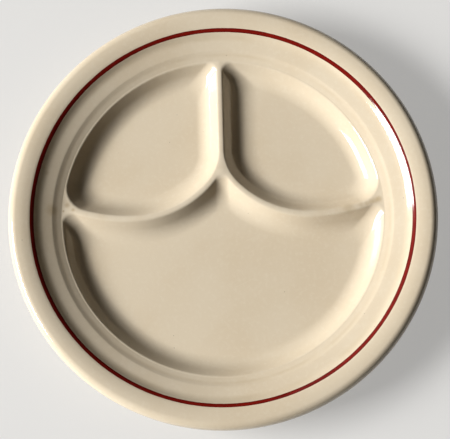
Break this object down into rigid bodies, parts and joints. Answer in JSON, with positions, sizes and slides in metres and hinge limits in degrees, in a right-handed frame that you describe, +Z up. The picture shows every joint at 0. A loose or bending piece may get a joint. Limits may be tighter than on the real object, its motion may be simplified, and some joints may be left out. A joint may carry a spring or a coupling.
{
  "type": "divided compartment plate",
  "caption": "Round, heavy glazed china plate with food wells parted by a Y of low ridges, a stepped verge, a thick rolled rim with a banded line, and a bare foot ring.",
  "frame": {"origin": "centre of the plate, on the plane that its foot ring stands on", "axes": "+Z up out of the wells, +Y along the straight ridge between the two small wells, +X to the right of it"},
  "size_m": [0.248, 0.248, 0.0262],
  "materials": {
    "clay_body": "matte",
    "cream_glaze": "gloss",
    "red_line": "gloss"
  },
  "bodies": {
    "root": {"plate_body": "clay_body", "glaze_coat": "cream_glaze", "rim_line": "red_line"}
  },
  "joints": []
}
